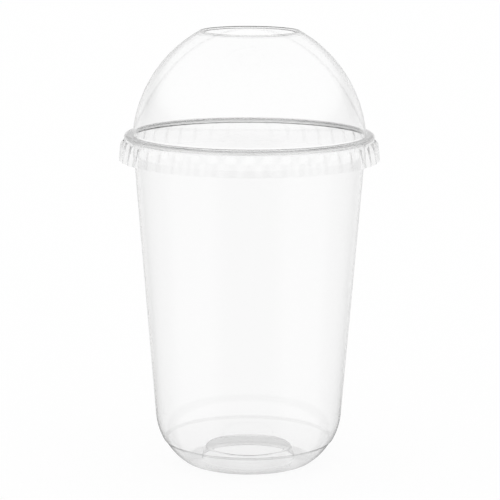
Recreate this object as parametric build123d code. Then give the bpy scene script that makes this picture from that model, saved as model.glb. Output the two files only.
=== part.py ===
from build123d import *
import math
import os

# A clear drinking cup with a domed lid, each formed from one plastic sheet.
# Millimetres, +Z up, with the origin on the table at the middle of the cup's foot.

# Cup
cup_height = 128.0            # table to the top of the rolled rim
rim_diameter = 95.0           # over the rolled rim
rim_width = 3.1               # across the flattened roll
rim_roll = 1.7                # height of the roll
rim_roll_turn = 285.0         # degrees that the sheet goes round in the roll
cup_wall = 0.4                # sheet thickness
bowl_top_diameter = 72.2      # outside, where the straight wall turns into the round bottom
bowl_top_height = 18.4        # of that line above the table
bowl_radius = 24.3            # of the round bottom, outside
ledge_height = 7.9            # from the table to the underside of the stacking ledge
ledge_width = 0.35            # how far the bottom below the ledge is set in
ledge_rise = 0.9              # height of the step
ledge_rounding = 0.7          # of its two edges
foot_diameter = 49.0          # outside of the flat foot ring, before its rounding
foot_width = 6.6              # of the foot ring, from there in to the raised middle
foot_rounding = 3.0           # between the foot ring and the round bottom
punt_height = 5.0             # from the table to the edge of the raised middle
punt_crown = 1.0              # how far that middle domes up above its edge
punt_flare = 1.4              # how far the wall of the raised middle spreads towards the table
punt_rounding = 1.0           # of its two edges

# Lid
lid_wall = 0.3                # sheet thickness
rim_clearance = 0.15          # between the lid and the rolled rim
seat_width = 2.0              # flat ring on the rim, from the dome to where the bead turns down
seat_rounding = 0.6           # between the dome and that ring
dome_height = 39.35           # from the seat to the crest, before its rounding
dome_radius = 50.4            # of the dome's side, outside
hole_diameter = 35.0          # straw hole
lip_width = 0.95              # flat sunk lip round the hole
lip_drop = 0.8                # from the crest down to the lip
lip_lean = 0.3                # how far the wall round the lip leans out
lip_rounding = 0.3
crest_rounding = 0.4
snap_band = 1.0               # plain band below the bead
skirt_height = 7.6            # fluted skirt below that band
skirt_flare = 2.05            # how far the flutes stand out beyond the band at the skirt's edge
flute_count = 44
flute_run = 1.6               # stretch below the band in which only the flutes flare, not the valleys
flute_swell = 1.4             # how far they stand out at the end of that stretch
flute_depth = 0.4             # at the skirt's edge

# The section is drawn as distance from the axis and height above the table.
# The roll turns about two middles, with a flat stretch between them.
roll_radius = rim_roll / 2
roll_outer = Vector(rim_diameter / 2 - roll_radius, cup_height - roll_radius)
roll_inner = roll_outer - Vector(rim_width - rim_roll, 0)


def rounded(line, corner, radius):
    """The line with its corner nearest to a point rounded off."""
    return line.fillet_2d(radius, [line.vertices().sort_by_distance(corner)[0]])


def sheet_section(line, thickness):
    """Section of a formed sheet: its outer line, closed with that line one thickness further in."""
    strips = []
    for side in (Side.LEFT, Side.RIGHT):
        strip = offset(line, thickness, side=side, kind=Kind.INTERSECTION)
        strips.append(make_face(strip.edges()))
    # The line goes round the inside, so the strip on that side is the smaller one.
    return min(strips, key=lambda strip: strip.area)


def turned(section):
    """The solid that a section makes when it is turned about the cup's axis."""
    return revolve(Plane.XZ * section, Axis.Z)


def bowl_reach(height):
    """Distance from the axis to the outside of the round bottom at a height."""
    bottom = Vector(foot_diameter / 2, 0)
    top = Vector(bowl_top_diameter / 2, bowl_top_height)
    chord = top - bottom
    rise = math.sqrt(bowl_radius**2 - (chord.length / 2) ** 2)
    middle = (bottom + top) / 2 + Vector(-chord.Y, chord.X).normalized() * rise
    return middle.X + math.sqrt(bowl_radius**2 - (height - middle.Y) ** 2)


def make_cup():
    """The cup, drawn from the middle of its base to the free edge of the rolled rim."""
    foot_edge = (foot_diameter / 2, 0)
    punt_base = (foot_edge[0] - foot_width, 0)
    punt_top = (punt_base[0] - punt_flare, punt_height)
    punt_middle = (0, punt_height + punt_crown)
    crown_radius = (punt_top[0] ** 2 + punt_crown**2) / (2 * punt_crown)
    ledge_top_height = ledge_height + ledge_rise
    ledge_top = (bowl_reach(ledge_top_height), ledge_top_height)
    ledge_base = (bowl_reach(ledge_height) - ledge_width, ledge_height)
    bowl_top = Vector(bowl_top_diameter / 2, bowl_top_height)

    # The wall's outside runs up as a tangent to the hollow of the roll.
    hollow_radius = roll_radius - cup_wall
    to_roll = roll_inner - bowl_top
    wall_length = math.sqrt(to_roll.length**2 - hollow_radius**2)
    wall_angle = math.degrees(math.atan2(to_roll.Y, to_roll.X) + math.asin(hollow_radius / to_roll.length))

    crown = RadiusArc(punt_middle, punt_top, crown_radius)
    base = Polyline(punt_top, punt_base, foot_edge)
    heel = RadiusArc(foot_edge, ledge_base, -bowl_radius)
    ledge = Line(ledge_base, ledge_top)
    bowl = RadiusArc(ledge_top, bowl_top, -bowl_radius)
    wall = PolarLine(bowl_top, wall_length, wall_angle)
    outside = Wire([crown, *base.edges(), heel, ledge, bowl, wall])
    corners = {
        punt_top: punt_rounding,
        punt_base: punt_rounding,
        foot_edge: foot_rounding,
        ledge_base: ledge_rounding,
        ledge_top: ledge_rounding,
    }
    for corner, radius in corners.items():
        outside = rounded(outside, corner, radius)

    # The sheet of the roll lies between its hollow and its outside.
    roll_sides = []
    for radius in (hollow_radius, roll_radius):
        first_turn = CenterArc(roll_inner, radius, wall_angle + 90, -wall_angle)
        flat = Line(first_turn @ 1, roll_outer + Vector(0, radius))
        last_turn = CenterArc(roll_outer, radius, 90, wall_angle - rim_roll_turn)
        roll_sides.append(Wire([first_turn, flat, last_turn]))
    hollow, outer = roll_sides
    roll_ends = [Line(hollow @ end, outer @ end) for end in (0, 1)]
    roll = make_face([*hollow.edges(), *outer.edges(), *roll_ends])
    return turned(sheet_section(outside, cup_wall) + roll)


def on_flute(reach, pitches):
    """The point at a distance from the axis, so many flutes round from the first crest."""
    return Vector(reach, 0).rotate(Axis.Z, pitches * 360 / flute_count)


def flute_outline(crest, valley):
    """Closed outline of round flutes out to the crest radius, with round valleys between them."""
    between = (crest + valley) / 2
    arcs = []
    for flute in range(flute_count):
        for reach, middle in ((crest, flute), (valley, flute + 0.5)):
            ends = on_flute(between, middle - 0.25), on_flute(between, middle + 0.25)
            arcs.append(ThreePointArc(ends[0], on_flute(reach, middle), ends[1]))
    return make_face(arcs)


def make_lid():
    """The lid, drawn from the edge of the straw hole over the dome and the bead, with its fluted skirt."""
    bead_radius = roll_radius + rim_clearance + lid_wall
    bead_top = roll_outer.Y + bead_radius
    dome_base = (roll_outer.X - seat_width, bead_top)
    hole_edge = (hole_diameter / 2, bead_top + dome_height - lip_drop)
    lip_edge = (hole_edge[0] + lip_width, hole_edge[1])
    crest = (lip_edge[0] + lip_lean, lip_edge[1] + lip_drop)

    lip = Polyline(hole_edge, lip_edge, crest)
    dome = RadiusArc(crest, dome_base, dome_radius)
    seat = Line(dome_base, (roll_outer.X, bead_top))
    bead = JernArc(seat @ 1, seat % 1, bead_radius, -90)
    band = Line(bead @ 1, bead @ 1 - Vector(0, snap_band))
    outside = Wire([*lip.edges(), dome, seat, bead, band])
    corners = {lip_edge: lip_rounding, crest: crest_rounding, dome_base: seat_rounding}
    for corner, radius in corners.items():
        outside = rounded(outside, corner, radius)

    skirt_top = (band @ 1).Y
    skirt_edge = skirt_top - skirt_height
    band_reach = (band @ 1).X
    edge_reach = band_reach + skirt_flare
    # Height, crest and valley of the flutes at the edge, at the end of their run and at the band.
    levels = [
        (skirt_edge, edge_reach, edge_reach - flute_depth),
        (skirt_top - flute_run, band_reach + flute_swell, band_reach),
        (skirt_top, band_reach, band_reach),
    ]
    filled = []
    for inset in (0, lid_wall):
        outlines = [Pos(Z=z) * flute_outline(crest - inset, valley - inset) for z, crest, valley in levels]
        filled.append(loft(outlines, ruled=True))
    skirt = filled[0] - filled[1]
    return turned(sheet_section(outside, lid_wall)) + skirt


os.makedirs("parts", exist_ok=True)
for name, make in {"cup": make_cup, "dome_lid": make_lid}.items():
    piece = make()
    piece.label = name
    export_step(piece, f"parts/{name}.step")
    print(name, "volume", round(piece.volume), "size", piece.bounding_box().size)
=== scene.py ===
# %% [markdown]
# # A clear drinking cup with a domed lid
# The object is two sheets of clear plastic: a round-bottomed cup with a rolled rim, and a domed
# lid with a straw hole, which snaps over the rim with a fluted skirt. The frame already holds both
# as solids. Here each of them gets a finer shell and the clear gloss of the real one, in the same
# place, and then a white studio round it.

# %% Load the frame
import math

import bmesh
import bpy
from mathutils import Matrix, Vector


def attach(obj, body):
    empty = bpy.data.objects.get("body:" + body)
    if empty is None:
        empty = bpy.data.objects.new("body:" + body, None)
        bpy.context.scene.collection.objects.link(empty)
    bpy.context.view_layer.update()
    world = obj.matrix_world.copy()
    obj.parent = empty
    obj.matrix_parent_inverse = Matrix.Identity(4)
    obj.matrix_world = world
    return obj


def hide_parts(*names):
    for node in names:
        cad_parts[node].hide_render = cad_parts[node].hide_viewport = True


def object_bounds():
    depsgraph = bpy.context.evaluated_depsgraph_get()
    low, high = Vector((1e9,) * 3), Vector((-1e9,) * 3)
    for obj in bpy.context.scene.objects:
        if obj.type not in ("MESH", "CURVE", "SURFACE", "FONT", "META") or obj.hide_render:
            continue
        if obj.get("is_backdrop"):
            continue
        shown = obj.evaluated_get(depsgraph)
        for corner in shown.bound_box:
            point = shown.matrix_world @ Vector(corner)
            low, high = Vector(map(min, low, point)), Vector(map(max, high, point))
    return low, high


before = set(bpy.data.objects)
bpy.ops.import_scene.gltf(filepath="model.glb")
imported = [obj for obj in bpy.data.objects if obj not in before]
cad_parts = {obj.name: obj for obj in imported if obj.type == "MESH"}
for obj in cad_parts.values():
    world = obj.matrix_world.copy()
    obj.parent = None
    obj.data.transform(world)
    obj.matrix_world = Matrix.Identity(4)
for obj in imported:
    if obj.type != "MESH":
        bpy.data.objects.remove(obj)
cad_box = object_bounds()

# %% [markdown]
# ## Drawing a sheet as one line
# Both pieces are formed from flat sheet and are round about the upright axis, so the outer face of
# each is one line turned about that axis. The line could be typed in as a list of points, but then
# no size could be changed by itself. Instead a plane is merged into a single point, and that point
# is drawn along: extruded for a straight run, and spun about a centre for an arc.

# %% A pen that draws sheet lines
mm = 0.001
arc_step = 1.3 * mm           # longest straight bit in an arc


class SheetLine:
    """The outer line of a formed sheet, as distance from the axis and height, in the XZ plane."""

    def __init__(self, name, start):
        bpy.ops.object.select_all(action="DESELECT")
        bpy.ops.mesh.primitive_plane_add(size=mm)
        self.piece = bpy.context.object
        self.piece.name = name
        bpy.ops.object.mode_set(mode="EDIT")
        bpy.ops.mesh.merge(type="CENTER")
        bpy.ops.transform.translate(value=(start[0], 0, start[1]))
        self.pen = Vector(start)

    def run_to(self, end, bits=1):
        """A straight run in equal bits."""
        move = (Vector(end) - self.pen) / bits
        for _ in range(bits):
            bpy.ops.mesh.extrude_region_move(TRANSFORM_OT_translate={"value": (move.x, 0, move.y)})
        self.pen = Vector(end)

    def turn(self, middle, angle, steps):
        """An arc about a middle, anticlockwise where the angle is positive."""
        bpy.ops.mesh.spin(steps=steps, angle=angle, center=(middle.x, 0, middle.y), axis=(0, 1, 0))
        self.pen = middle + Matrix.Rotation(angle, 2) @ (self.pen - middle)

    def arc_to(self, end, radius):
        """An arc of a radius to an end, anticlockwise where the radius is positive."""
        chord = Vector(end) - self.pen
        side = Vector((-chord.y, chord.x)).normalized()
        height = math.sqrt(radius**2 - (chord.length / 2) ** 2)
        middle = self.pen + chord / 2 + side * math.copysign(height, radius)
        angle = 2 * math.asin(chord.length / 2 / radius)
        self.turn(middle, angle, math.ceil(abs(angle * radius) / arc_step))

# %% [markdown]
# A formed sheet has no sharp corners. Each corner of the line is rounded with a bevel of its
# vertex, as a fillet is in a technical drawing. The bevel starts at the distance from the corner
# at which a circle of the wanted radius touches both sides, which depends on how far the line turns.

# %% Rounding the corners of a line
corner_segments = 7
same_place = 0.001 * mm       # points nearer than this are one point


def in_mm(place):
    """A place in rounded millimetres, to print."""
    return [round(c / mm, 2) for c in place]


def select_points(wanted):
    """Selects the points of the mesh in edit mode that a test wants, and no others."""
    mesh = bpy.context.edit_object.data
    shape = bmesh.from_edit_mesh(mesh)
    bpy.ops.mesh.select_all(action="DESELECT")
    for point in shape.verts:
        point.select_set(wanted(point.co))
    shape.select_flush_mode()
    bmesh.update_edit_mesh(mesh)


def round_corner(corner, radius):
    """Rounds the corner of the line that is nearest to a place."""
    place = Vector((corner[0], 0, corner[1]))
    points = bmesh.from_edit_mesh(bpy.context.edit_object.data).verts
    point = min(points, key=lambda point: (point.co - place).length)
    before, after = [edge.other_vert(point).co - point.co for edge in point.link_edges]
    turn = math.pi - before.angle(after)
    spot = point.co.copy()
    select_points(lambda co: (co - spot).length < same_place)
    bpy.ops.mesh.bevel(
        affect="VERTICES", offset=radius * math.tan(turn / 2), segments=corner_segments
    )
    print("corner at", in_mm(corner), "turns", round(math.degrees(turn), 1))

# %% [markdown]
# ## The cup
# The cup is drawn as a mould maker would: from the middle of the raised base, down to the flat ring
# that it stands on, out along the round bottom with its small stacking ledge, up the nearly
# straight wall, and round the roll of the rim.

# %% Sizes of the cup
cup_height = 128.0 * mm
rim_diameter = 95.0 * mm
rim_width = 3.1 * mm
rim_roll = 1.7 * mm
rim_roll_turn = math.radians(285)
cup_wall = 0.4 * mm
bowl_top = Vector((36.1, 18.4)) * mm
bowl_radius = 24.3 * mm
ledge_height = 7.9 * mm
ledge_width = 0.35 * mm
ledge_rise = 0.9 * mm
ledge_rounding = 0.7 * mm
foot_edge = Vector((24.5, 0)) * mm
foot_width = 6.6 * mm
foot_rounding = 3.0 * mm
punt_height = 5.0 * mm
punt_crown = 1.0 * mm
punt_flare = 1.4 * mm
punt_rounding = 1.0 * mm
roll_radius = rim_roll / 2
roll_outer = Vector((rim_diameter / 2 - roll_radius, cup_height - roll_radius))
roll_inner = roll_outer - Vector((rim_width - rim_roll, 0))
print("the roll of the rim turns about", in_mm(roll_inner), "and", in_mm(roll_outer))

# %% [markdown]
# The raised middle, which bottle makers call a punt, keeps the thin base from sagging under the
# drink. The round bottom could be one arc, but a stacked cup has to rest on something, so there is
# a ledge in it: below the ledge the arc ends a little further in, and a short run steps out to
# where the arc would have been without it.

# %% The cup's line from the base to the top of the bowl


def bowl_reach(height):
    """Distance from the axis to the outside of the round bottom at a height."""
    chord = bowl_top - foot_edge
    rise = math.sqrt(bowl_radius**2 - (chord.length / 2) ** 2)
    middle = (foot_edge + bowl_top) / 2 + Vector((-chord.y, chord.x)).normalized() * rise
    return middle.x + math.sqrt(bowl_radius**2 - (height - middle.y) ** 2)


punt_base = foot_edge - Vector((foot_width, 0))
punt_top = punt_base + Vector((-punt_flare, punt_height))
ledge_base = Vector((bowl_reach(ledge_height) - ledge_width, ledge_height))
ledge_top = Vector((bowl_reach(ledge_height + ledge_rise), ledge_height + ledge_rise))
crown_radius = (punt_top.x**2 + punt_crown**2) / (2 * punt_crown)
cup_line = SheetLine("clear_cup", (0, punt_height + punt_crown))
cup_line.arc_to(punt_top, -crown_radius)
cup_line.run_to(punt_base)
cup_line.run_to(foot_edge)
cup_line.arc_to(ledge_base, bowl_radius)
cup_line.run_to(ledge_top)
cup_line.arc_to(bowl_top, bowl_radius)
print("stacking ledge from", in_mm(ledge_base), "to", in_mm(ledge_top))

# %% [markdown]
# The wall tapers so that cups can stack. Its outside runs up as a tangent to the hollow of the
# roll, so that it passes into the rim without a kink. The rim itself, rolled over so that it is
# stiff and kind to the lips, is an arc, a short flat and a longer arc that ends inside the roll.

# %% The wall and the rolled rim
hollow_radius = roll_radius - cup_wall
to_roll = roll_inner - bowl_top
wall_length = math.sqrt(to_roll.length**2 - hollow_radius**2)
wall_angle = math.atan2(to_roll.y, to_roll.x) + math.asin(hollow_radius / to_roll.length)
wall_end = bowl_top + Vector((math.cos(wall_angle), math.sin(wall_angle))) * wall_length
cup_line.run_to(wall_end, bits=24)
cup_line.turn(roll_inner, -wall_angle, steps=9)
cup_line.run_to(roll_outer + Vector((0, hollow_radius)))
cup_line.turn(roll_outer, wall_angle - rim_roll_turn, steps=22)
for corner, radius in (
    (punt_top, punt_rounding),
    (punt_base, punt_rounding),
    (foot_edge, foot_rounding),
    (ledge_base, ledge_rounding),
    (ledge_top, ledge_rounding),
):
    round_corner(corner, radius)

# %% [markdown]
# The line is turned about the axis in small steps. The turn leaves a heap of points in the middle
# of the base, so doubles are merged and the faces turned outwards, and only then does a Solidify
# modifier give the sheet its thickness, inwards from the outer face. Blender takes the faces that
# lie furthest out as the outer ones, and in the cup those are in the roll, where the sheet has
# turned over, so the cup's faces are told to point inwards there. A wall of two faces matters here:
# light bends on the way in and again on the way out.

# %% Turning a line and giving the sheet its thickness
smooth_below = math.radians(35)


def turn_sheet(steps, rim_rolls_out):
    """Turns the sheet line in edit mode about the upright axis."""
    bpy.ops.mesh.select_all(action="SELECT")
    bpy.ops.mesh.spin(
        steps=steps, angle=2 * math.pi, center=(0, 0, 0), axis=(0, 0, 1), use_auto_merge=True
    )
    bpy.ops.mesh.select_all(action="SELECT")
    bpy.ops.mesh.remove_doubles(threshold=same_place)
    bpy.ops.mesh.normals_make_consistent(inside=rim_rolls_out)


def thicken(piece, thickness):
    """Gives a turned sheet its wall, inwards, and a smooth surface."""
    bpy.ops.object.mode_set(mode="OBJECT")
    wall = piece.modifiers.new("wall", "SOLIDIFY")
    wall.thickness = thickness
    wall.offset = -1
    wall.use_even_offset = True
    wall.use_quality_normals = True
    bpy.ops.object.modifier_apply(modifier=wall.name)
    bpy.ops.object.shade_smooth_by_angle(angle=smooth_below)
    piece.data.calc_loop_triangles()
    print(piece.name, in_mm(piece.dimensions), len(piece.data.loop_triangles), "triangles")


turn_sheet(steps=240, rim_rolls_out=True)
cup = cup_line.piece
thicken(cup, cup_wall)

# %% [markdown]
# ## The lid
# The lid is drawn from the edge of the straw hole: along the sunk lip, up over the crest, down the
# dome, out over the rim as a bead, and down the plain band and the flared skirt. Its bead goes
# round the same roll as the cup's rim, a clearance further out, so the two always fit.

# %% Sizes of the lid
lid_wall = 0.3 * mm
rim_clearance = 0.15 * mm
seat_width = 2.0 * mm
seat_rounding = 0.6 * mm
dome_height = 39.35 * mm
dome_radius = 50.4 * mm
hole_radius = 17.5 * mm
lip_width = 0.95 * mm
lip_drop = 0.8 * mm
lip_lean = 0.3 * mm
lip_rounding = 0.3 * mm
crest_rounding = 0.4 * mm
snap_band = 1.0 * mm
skirt_height = 7.6 * mm
skirt_flare = 2.05 * mm
flute_count = 44
flute_run = 1.6 * mm
flute_swell = 1.4 * mm
flute_depth = 0.4 * mm
bead_radius = roll_radius + rim_clearance + lid_wall
bead_top = roll_outer.y + bead_radius
print("the bead's top is at", round(bead_top / mm, 2))

# %% The lid's line
skirt_levels = 3
hole_edge = Vector((hole_radius, bead_top + dome_height - lip_drop))
lip_edge = hole_edge + Vector((lip_width, 0))
crest = lip_edge + Vector((lip_lean, lip_drop))
dome_base = Vector((roll_outer.x - seat_width, bead_top))
band_end = roll_outer + Vector((bead_radius, -snap_band))
run_end = band_end + Vector((flute_swell, -flute_run))
skirt_edge = band_end + Vector((skirt_flare, -skirt_height))
lid_line = SheetLine("clear_dome_lid", hole_edge)
lid_line.run_to(lip_edge)
lid_line.run_to(crest)
lid_line.arc_to(dome_base, -dome_radius)
lid_line.run_to((roll_outer.x, bead_top))
lid_line.turn(roll_outer, -math.pi / 2, steps=14)
lid_line.run_to(band_end, bits=2)
lid_line.run_to(run_end)
lid_line.run_to(skirt_edge, bits=skirt_levels)
for corner, radius in (
    (lip_edge, lip_rounding),
    (crest, crest_rounding),
    (dome_base, seat_rounding),
):
    round_corner(corner, radius)

# %% [markdown]
# The flutes let the stiff skirt stretch over the rim. They could be a pattern of bumps in the
# material, but they show at the edge of the skirt, so they are pressed into the sheet: the turn has
# eight steps to each flute, and the points of each step are drawn in towards the axis until the
# outline is a soft wave. This happens before the sheet gets its thickness.

# %% Pressing the flutes
steps_a_flute = 8
step_angle = 2 * math.pi / (flute_count * steps_a_flute)
level_slack = 0.01 * mm       # how far a point may lie off its level
turn_sheet(steps=flute_count * steps_a_flute, rim_rolls_out=False)


def flute_reach(crest_reach, valley_reach, angle):
    """Distance from the axis to the sheet, at an angle from the crest of a flute."""
    middle = (crest_reach + valley_reach) / 2
    return middle + (crest_reach - valley_reach) / 2 * math.cos(flute_count * angle)


def steps_from_crest(co):
    """How many steps of the turn a point is away from the crest of its flute."""
    step = round(math.atan2(co.y, co.x) / step_angle) % steps_a_flute
    return min(step, steps_a_flute - step)


for level in range(skirt_levels + 1):
    place = run_end.lerp(skirt_edge, level / skirt_levels)
    valley = band_end.x + (skirt_edge.x - flute_depth - band_end.x) * level / skirt_levels
    for step in range(1, steps_a_flute // 2 + 1):
        select_points(
            lambda co: abs(co.z - place.y) < level_slack and co.xy.length > band_end.x
            and steps_from_crest(co) == step
        )
        size = flute_reach(place.x, valley, step * step_angle) / place.x
        bpy.ops.transform.resize(value=(size, size, 1), center_override=(0, 0, 0))
lid = lid_line.piece
thicken(lid, lid_wall)

# %% [markdown]
# ## Writing a finish as arithmetic
# A finish is a graph of nodes. Wiring each node by hand hides what the graph works out, so one
# small class stands for a socket: Python's own operators on it add Math nodes, and one method adds
# any other node.

# %% A socket that can be calculated with


class Flow:
    """What comes out of a node's socket. Its operators add Math nodes to the same graph."""

    def __init__(self, tree, socket=None):
        self.tree = tree
        self.socket = socket

    def node(self, kind, settings={}, inputs={}, output=0):
        """Adds a node with its settings, then the values or links of its inputs."""
        made = self.tree.nodes.new("ShaderNode" + kind)
        for name, value in settings.items():
            setattr(made, name, value)
        for name, value in inputs.items():
            if isinstance(value, Flow):
                self.tree.links.new(value.socket, made.inputs[name])
            else:
                made.inputs[name].default_value = value
        return Flow(self.tree, made.outputs[output] if made.outputs else None)

    def maths(self, operation, first, second):
        """Adds a Math node with two inputs."""
        return self.node("Math", {"operation": operation}, {0: first, 1: second})

    def __add__(self, other):
        return self.maths("ADD", self, other)

    def __radd__(self, other):
        return self.maths("ADD", other, self)

    def __sub__(self, other):
        return self.maths("SUBTRACT", self, other)

    def __rsub__(self, other):
        return self.maths("SUBTRACT", other, self)

    def __mul__(self, other):
        return self.maths("MULTIPLY", self, other)

    def __rmul__(self, other):
        return self.maths("MULTIPLY", other, self)

    def __truediv__(self, other):
        return self.maths("DIVIDE", self, other)

    def __rtruediv__(self, other):
        return self.maths("DIVIDE", other, self)

    def __pow__(self, other):
        return self.maths("POWER", self, other)

    def __rpow__(self, other):
        return self.maths("POWER", other, self)

    def __abs__(self):
        return self.node("Math", {"operation": "ABSOLUTE"}, {0: self})

    def eased(self, start, end, first=0.0, last=1.0):
        """Goes softly from a first value to a last one, while this goes from start to end."""
        ends = {"Value": self, "From Min": start, "From Max": end, "To Min": first, "To Max": last}
        return self.node("MapRange", {"interpolation_type": "SMOOTHSTEP"}, ends)

    def blend(self, first, second):
        """Mixes two colours, with this as the share of the second."""
        return self.node("Mix", {"data_type": "RGBA"}, {0: self, 6: first, 7: second}, output=2)


def new_finish(name):
    """An empty material and the start of its graph."""
    material = bpy.data.materials.new(name)
    material.use_nodes = True
    material.node_tree.nodes.clear()
    return material, Flow(material.node_tree)

# %% [markdown]
# ## Clear plastic
# The sheet is clear and glossy. Its colour holds painted shade: the tint of the light that passes
# gets darker towards the sheet's outline, and in the base, at the stacking ledge, in the rolled rim
# and the bead over it, and round the hole, to give those places the grey lines and the darker base
# that bent and mirrored light draws on clear plastic. The tint darkens by the law that thick clear
# things follow, each bit taking the same share, as if the sheet were longer for light along its edge.

# %% Painted shade: how much light the sheet lets through
edge_share = 0.04             # painted shade: seen on its edge, the plain sheet darkens as if 1 / 0.04 times as long for the light
shaded_edge_share = 0.4        # and a place of painted shade 1 / 0.4 times
soft_edge = 0.3               # share of a shaded place's reach in which its painted shade begins or ends


def painted_shade_tint(graph, place, outline_shade, shaded_places):
    """Painted shade as the share of light that passes: less at the listed places and on the sheet's
    edge.
    """
    level = graph.node("SeparateXYZ", {}, {"Vector": place}, output="Z")
    facing = 1 - graph.node("LayerWeight", {}, {"Blend": 0.5}, output="Facing")
    # painted shade: the sheet darkens where it is seen on its edge
    lost = outline_shade / (facing + edge_share)
    # painted shade in bands at the listed heights
    for middle, reach, extra in shaded_places:
        share = abs(level - middle).eased((1 + soft_edge) * reach, (1 - soft_edge) * reach)
        lost = lost + extra * share / (facing + shaded_edge_share)
    return math.exp(-1) ** lost

# %% [markdown]
# What makes it plastic and not glass is the forming: the warm sheet was drawn down into a mould, so
# it has faint upright streaks where it stretched, and a slight waviness. Both are noise, and the
# streaks are noise that is stretched along the height. They move the gloss and the surface a little.
# All of it is read from Object coordinates, so it stays on the piece when the lid is lifted.

# %% The finish of a formed clear sheet
plastic_ior = 1.57
black = (0, 0, 0, 1)
white = (1, 1, 1, 1)


def clear_sheet(name, outline_shade, shaded_places):
    """Clear, glossy plastic with the faint streaks and waves of forming, and painted shade in its
    colour.
    """
    material, graph = new_finish(name)
    place = graph.node("TexCoord", output="Object")
    drawn = graph.node("Mapping", {}, {"Vector": place, "Scale": (1, 1, 0.12)})
    streaks = graph.node("TexNoise", {}, {"Vector": drawn, "Scale": 160, "Detail": 3})
    waves = graph.node("TexNoise", {}, {"Vector": place, "Scale": 45, "Detail": 1})
    relief = streaks * 0.4 + waves * 0.6
    sheet = {
        # painted shade: a grey colour darkens the sheet at its outline and in bands
        "Base Color": painted_shade_tint(graph, place, outline_shade, shaded_places).blend(black, white),
        "Roughness": 0.01 + streaks * 0.03,
        "IOR": plastic_ior,
        "Transmission Weight": 1.0,
        "Normal": graph.node("Bump", {}, {"Strength": 0.006, "Distance": 0.2 * mm, "Height": relief}),
    }
    graph.node("OutputMaterial", {}, {"Surface": graph.node("BsdfPrincipled", {}, sheet)})
    return material

# %% [markdown]
# A place of painted shade is given by the height of its middle, how far it reaches from there, and
# how much it darkens. The heights come from the sizes above, so the shade follows the shape.

# %% The finishes of the cup and the lid
# painted shade in bands: a darker rolled rim, stacking ledge and base of the cup
rolled_rim = (roll_outer.y + 0.25 * mm, 0.5 * mm, 0.22)
stacking_ledge = (ledge_height + ledge_rise / 2, 0.55 * mm, 0.1)
base_shade = (2 * mm, 6.5 * mm, 0.045)
cup_clear = clear_sheet("cup_clear_sheet", 0.002, (rolled_rim, stacking_ledge, base_shade))
# painted shade in bands: a darker bead and hole lip of the lid
bead = (roll_outer.y, 1.0 * mm, 0.06)
hole_lip = (hole_edge.y, 0.5 * mm, 0.09)
lid_clear = clear_sheet("lid_clear_sheet", 0.001, (bead, hole_lip))
print("finishes", cup_clear.name, lid_clear.name)

# %% [markdown]
# ## Joining the pieces to the frame
# Each shell stands for one solid of the frame, takes its finish and moves with its body, so
# the lid's shell lifts off with the lid.

# %% Cup and lid on their bodies
for piece, node, body, slot, finish in (
    (cup, "cup", "cup", "cup_clear", cup_clear),
    (lid, "dome_lid", "lid", "lid_clear", lid_clear),
):
    piece.data.materials.append(finish)
    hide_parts(node)
    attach(piece, body)
    print(piece.name, "stands for", node, "and moves with", body)

# %% [markdown]
# ## A white studio
# Clear plastic shows only what is behind it and what it mirrors, so the studio does the drawing.
# Straight behind and below the cup everything is white, and that is what the camera sees through
# the plain wall. Round the white table the studio is dimmer, most of all at the sides and where the
# camera stands, and a bright ceiling hangs over it: the wall mirrors the dim parts, more and more
# towards its outline, so the outline turns grey, while the dome mirrors the ceiling and stays light.

# %% How bright the studio is round the cup


def studio_round(graph, place):
    """Brightness in each level direction, where 1 is white."""
    x = graph.node("SeparateXYZ", {}, {"Vector": place}, output="X")
    y = graph.node("SeparateXYZ", {}, {"Vector": place}, output="Y")
    behind = y / (x * x + y * y) ** 0.5
    sides = behind.eased(0.9, 0.65, first=0.88, last=0.25)
    front = behind.eased(0.1, -0.3, last=0.3)
    camera_side = behind.eased(-0.75, -0.97, last=0.45)
    return sides + front - camera_side

# %% [markdown]
# The room is the world's own background. A ray that comes to it through the plastic sees white, but
# for a low grey wall just above the horizon: whatever bends the view a little upwards shows that
# wall as a grey line, such as the rolled rim, the flutes and the edge of the dome. A mirrored ray
# sees the dim studio. A bent ray counts as glossy too, so mirrored means glossy and not bent. All
# other light is plain white, so nothing is lit any darker.

# %% The room
wall_height = 0.19
wall_grey = 0.4
ceiling_white = 0.9
room = bpy.data.worlds.new("studio_room")
bpy.context.scene.world = room
room.use_nodes = True
room.node_tree.nodes.clear()
sky = Flow(room.node_tree)
direction = sky.node("TexCoord", output="Generated")
height = sky.node("SeparateXYZ", {}, {"Vector": direction}, output="Z")
wall = abs(height - wall_height).eased(0.16, 0.05)
ceiling = height.eased(0.1, 0.5)
level = studio_round(sky, direction)
through = sky.node("LightPath", output="Is Transmission Ray")
mirrored = sky.node("LightPath", output="Is Glossy Ray") * (1 - through)
seen = 1 - wall * through * wall_grey
tone = seen + mirrored * (level + ceiling * (ceiling_white - level) - seen)
background = sky.node("Background", {}, {"Color": tone, "Strength": 1.0})
sky.node("OutputWorld", {}, {"Surface": background})
print("room", room.name)

# %% [markdown]
# The floor is white paint. To the camera, and through the plastic, it mostly glows, so that it joins
# the white room without an edge, and the little paint that still shows keeps the faint shadow of a
# clear cup. In a mirror it is as dim as the studio in the same direction.

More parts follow.
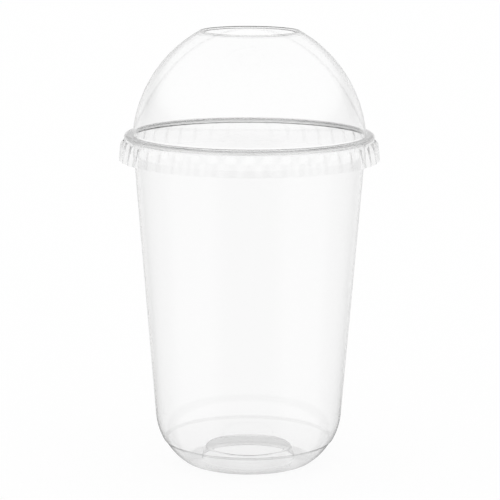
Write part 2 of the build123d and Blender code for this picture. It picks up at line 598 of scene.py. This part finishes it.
# %% The floor
floor_glow = 0.94
bpy.ops.object.select_all(action="DESELECT")
bpy.ops.mesh.primitive_circle_add(vertices=96, radius=9, fill_type="NGON")
floor = bpy.context.object
floor.name = "studio_floor"
floor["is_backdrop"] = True
floor_paint, graph = new_finish("floor_white")
camera_ray = graph.node("LightPath", output="Is Camera Ray")
glossy_ray = graph.node("LightPath", output="Is Glossy Ray")
through_ray = graph.node("LightPath", output="Is Transmission Ray")
shown = graph.maths("MAXIMUM", graph.maths("MAXIMUM", camera_ray, glossy_ray), through_ray)
mirrored = glossy_ray * (1 - through_ray)
level = studio_round(graph, graph.node("TexCoord", output="Object"))
paint = graph.node("BsdfDiffuse", {}, {"Color": (0.95, 0.95, 0.95, 1)})
glow = graph.node("Emission", {}, {"Color": 1 - mirrored * (1 - level), "Strength": 1.0})
surface = graph.node("MixShader", {}, {0: shown * floor_glow, 1: paint, 2: glow})
graph.node("OutputMaterial", {}, {"Surface": surface})
floor.data.materials.append(floor_paint)
print("floor", [round(side, 2) for side in floor.dimensions])

# %% [markdown]
# ## The camera
# A long lens from a little above the rim, as product pictures are taken: the ellipses stay flat and
# the wall's two sides stay nearly straight. Place, dip and lens were fitted to the outlines of the
# picture that the cup is built after, and so was the trace of roll.

# %% The camera
camera_place = (-0.00027, -0.92006, 0.2522)
camera_dip = 0.182
camera_roll = math.radians(-0.22)
focal_pixels = 2423.6
picture_pixels = 500
bpy.ops.object.camera_add(location=camera_place)
camera = bpy.context.object
camera.rotation_euler = (math.pi / 2 - camera_dip, camera_roll, 0)
camera.data.sensor_width = 36
camera.data.lens = camera.data.sensor_width * focal_pixels / picture_pixels
bpy.context.scene.camera = camera
bpy.context.scene.view_settings.view_transform = "Standard"
print("lens", round(camera.data.lens, 1))

# %% [markdown]
# ## Printing the sizes
# The shells have to keep to the box of the solids, or the part would look larger than it is. Both
# boxes are printed, so that they can be compared.

# %% Size of the frame and of the shown pieces
shown_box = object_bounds()
print("solids from", in_mm(cad_box[0]), "to", in_mm(cad_box[1]))
print("shells from", in_mm(shown_box[0]), "to", in_mm(shown_box[1]))
